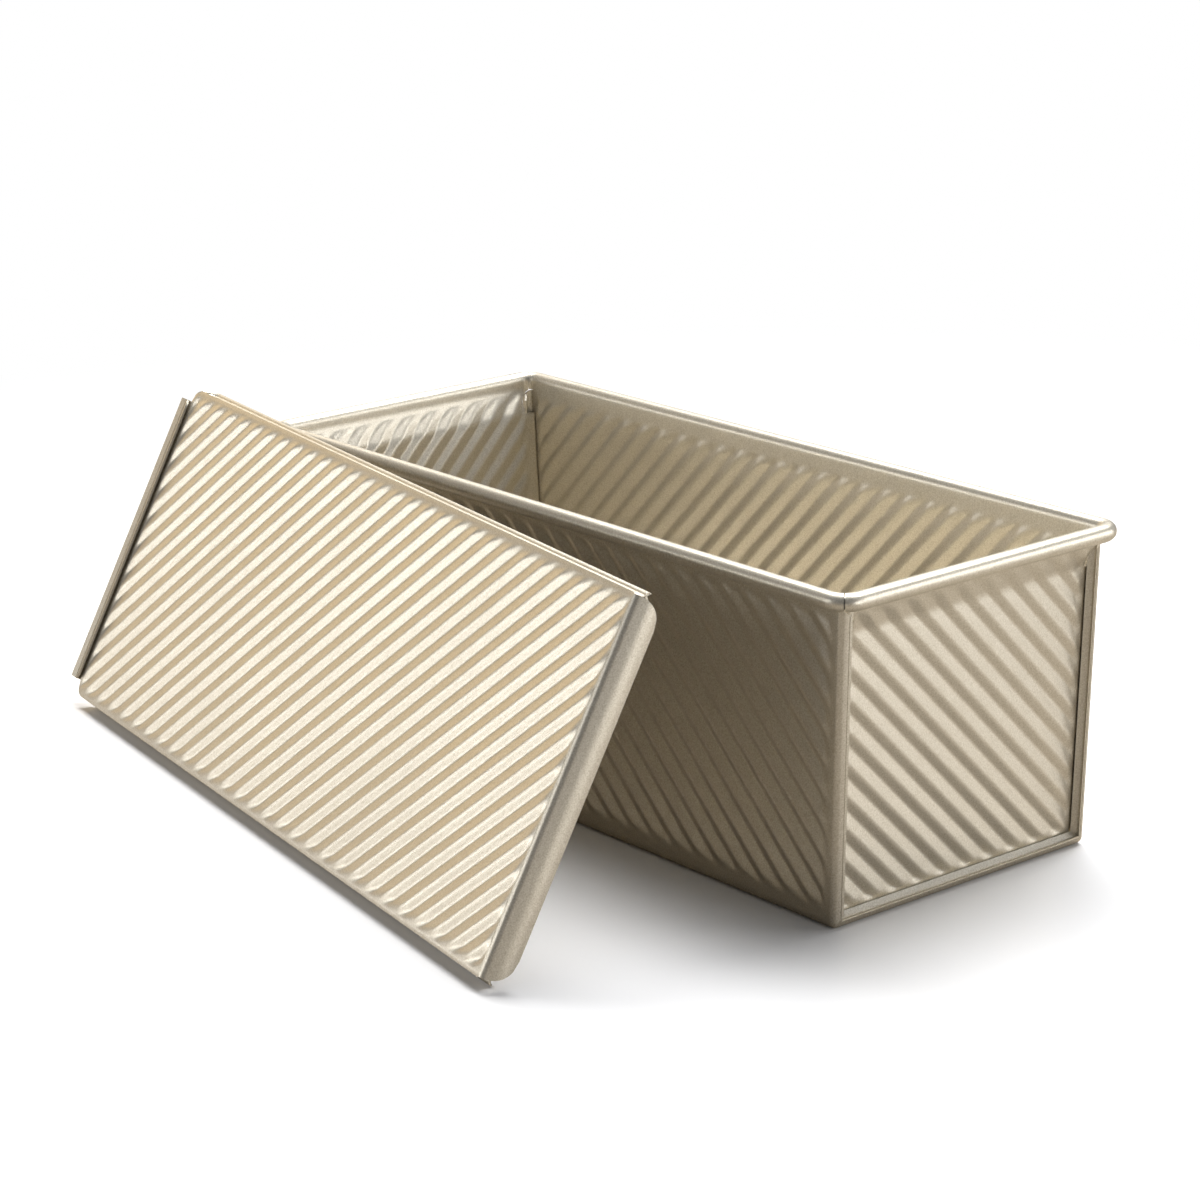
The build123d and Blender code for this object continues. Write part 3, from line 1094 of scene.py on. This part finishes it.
@dataclass(frozen=True)
class Viewpoint:
    """Camera that took the photograph: angles in degrees, place and lens in millimetres, clips in metres."""

    azimuth: float = 51.59
    elevation: float = 16.62
    roll: float = -1.47
    place: tuple[float, float, float] = (862.8, -730.3, 407.6)
    lens: float = 100.48
    sensor: float = 36.0
    shift: tuple[float, float] = (0.0286, -0.0097)
    clips: tuple[float, float] = (0.05, 20.0)

    def add_camera(self) -> None:
        """Set the camera where the photograph was taken from."""
        az, el, roll = (math.radians(v) for v in (self.azimuth, self.elevation, self.roll))
        back = Vector((math.sin(az) * math.cos(el), -math.cos(az) * math.cos(el), math.sin(el)))
        right = Vector((math.cos(az), math.sin(az), 0))
        up = back.cross(right)
        right, up = right * math.cos(roll) + up * math.sin(roll), up * math.cos(roll) - right * math.sin(roll)
        data = bpy.data.cameras.new("camera")
        data.lens = self.lens
        data.sensor_width = self.sensor
        data.shift_x, data.shift_y = self.shift
        data.clip_start, data.clip_end = self.clips
        camera = bpy.data.objects.new("camera", data)
        turn = Matrix((right, up, back)).transposed().to_4x4()
        camera.matrix_world = Matrix.Translation(Vector(self.place) * MM) @ turn
        bpy.context.scene.collection.objects.link(camera)
        bpy.context.scene.camera = camera


@dataclass(frozen=True)
class Softbox:
    """An area light: name, place and aim in metres, width and height, power in watts and sRGB colour."""

    name: str
    place: tuple[float, float, float]
    aim: tuple[float, float, float]
    size: tuple[float, float]
    power: float
    colour: str = "#FFFFFF"

    def hang(self) -> None:
        """Add the light to the scene."""
        data = bpy.data.lights.new(self.name, "AREA")
        data.shape = "RECTANGLE"
        data.size, data.size_y = self.size
        data.energy = self.power
        data.color = linear(self.colour)[:3]
        light = bpy.data.objects.new(self.name, data)
        way = Vector(self.aim) - Vector(self.place)
        light.matrix_world = Matrix.Translation(self.place) @ way.to_track_quat("-Z", "Y").to_matrix().to_4x4()
        bpy.context.scene.collection.objects.link(light)


@dataclass(frozen=True)
class Floor:
    """A plain pale floor that carries the soft shadows: sRGB colours, lengths in metres.

    The camera sees it pale, and the pan's own reflections and bounced light see it darker: painted shade, which
    keeps the ribs' dark bands and the long wall dark.
    Away from the pan it turns to pure white.
    """

    shown: str = "#F6F6F7"
    # Painted shade: the darker tone that the pan's reflections and bounced light see
    reflected_shade: str = "#A0978A"
    far: str = "#FFFFFF"
    white_from: float = 0.25
    white_to: float = 0.75
    reach: float = 6.0
    drop: float = 0.0002
    roughness: float = 0.35
    specular: float = 0.3

    def lay(self) -> None:
        """Add the floor as part of the stage."""
        r = self.reach
        mesh = bpy.data.meshes.new("floor")
        mesh.from_pydata([(-r, -r, 0), (r, -r, 0), (r, r, 0), (-r, r, 0)], [], [(0, 1, 2, 3)])
        floor = bpy.data.objects.new("floor", mesh)
        floor.location.z = -self.drop
        paint(floor, self.material())
        bpy.context.scene.collection.objects.link(floor)

    def material(self) -> bpy.types.Material:
        """Make the floor's material.

        Returns:
            Smooth matt paint with a soft sheen, seen darker in the pan's reflections as painted shade.
        """
        material = bpy.data.materials.new("pale_floor_paint")
        nodes = Nodes(material)
        # Painted shade: every ray but the camera's sees the floor in the darker tone, which shades the pan's
        # long wall and the ribs' dark bands
        seen = nodes.add("ShaderNodeLightPath").outputs["Is Camera Ray"]
        tone = nodes.add("ShaderNodeMix", {
            "Factor": seen, MIX_A: linear(self.reflected_shade), MIX_B: linear(self.shown),
        }, data_type="RGBA")
        shader = nodes.add("ShaderNodeBsdfPrincipled", {
            "Base Color": tone.outputs[MIX_RESULT], "Roughness": self.roughness,
            "Specular IOR Level": self.specular,
        })
        place = nodes.add("ShaderNodeTexCoord").outputs["Object"]
        distance = nodes.add("ShaderNodeVectorMath", {0: place}, operation="LENGTH")
        away = nodes.add("ShaderNodeMapRange", {
            "Value": distance.outputs["Value"], "From Min": self.white_from, "From Max": self.white_to,
        }, interpolation_type="SMOOTHSTEP")
        white = nodes.add("ShaderNodeEmission", {"Color": linear(self.far)})
        share = nodes.add("ShaderNodeMath", {0: away.outputs["Result"], 1: seen}, operation="MULTIPLY")
        mix = nodes.add("ShaderNodeMixShader", {
            "Fac": share.outputs["Value"], 1: shader.outputs["BSDF"], 2: white.outputs["Emission"],
        })
        nodes.add("ShaderNodeOutputMaterial", {"Surface": mix.outputs["Shader"]})
        return material


@dataclass(frozen=True)
class Backdrop:
    """What surrounds the floor: white to the camera, and a softer fill for everything else."""

    shown: str = "#FFFFFF"
    fill: str = "#E8ECF2"
    fill_strength: float = 0.18

    def add_world(self) -> None:
        """Make the world and use it."""
        world = bpy.data.worlds.new("studio")
        nodes = Nodes(world)
        seen = nodes.add("ShaderNodeLightPath").outputs["Is Camera Ray"]
        shown = nodes.add("ShaderNodeBackground", {"Color": linear(self.shown)})
        fill = nodes.add("ShaderNodeBackground", {"Color": linear(self.fill), "Strength": self.fill_strength})
        mix = nodes.add("ShaderNodeMixShader", {
            "Fac": seen, 1: fill.outputs["Background"], 2: shown.outputs["Background"],
        })
        nodes.add("ShaderNodeOutputWorld", {"Surface": mix.outputs["Shader"]})
        bpy.context.scene.world = world


# The front softbox lights the lid's broad bands and the warm left one its narrow bands. The top softbox hangs
# behind the pan, so that the long wall stays dark. The right softbox and strip light the end panel, and the
# edge strip lights the bend of the lid's stop.
LIGHTS = (
    Softbox("top_softbox", (-0.3, 0.55, 1.5), (0, 0, 0.05), (1.5, 0.8), 50.0),
    Softbox("left_softbox", (-2.0, 0.2, 0.6), (-0.1, -0.1, 0.05), (1.8, 0.9), 6.0, "#FFDC9C"),
    Softbox("right_softbox", (1.5, 1.6, 0.55), (0.15, 0, 0.05), (1.2, 0.9), 13.0),
    Softbox("right_strip", (2.0, 0.35, 0.22), (0.1, 0, 0.05), (0.8, 0.35), 7.0),
    Softbox("front_softbox", (-1.45, -1.7, 0.25), (-0.1, -0.15, 0.05), (1.4, 0.4), 7.6),
    Softbox("edge_strip", (-0.65, -1.75, 0.5), (0.05, -0.15, 0.05), (0.35, 0.5), 3.0),
)


def main() -> None:
    """Build the dressed pan and lid, their stage and their light."""
    stock = Stock()
    pan = Pan(stock, PanSizes())
    lid = Lid(stock, LidSizes(), pan)
    coating = NONSTICK.material()
    pan.make(coating)
    lid.make(coating)
    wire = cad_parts["rim_wire"]
    paint(wire, WIRE.material())
    log.info("rim_wire: %d faces, kept from the solids", len(wire.data.polygons))
    Floor().lay()
    Backdrop().add_world()
    for softbox in LIGHTS:
        softbox.hang()
    Viewpoint().add_camera()
    bpy.context.scene.view_settings.view_transform = "Standard"


if __name__ == "__main__":
    main()
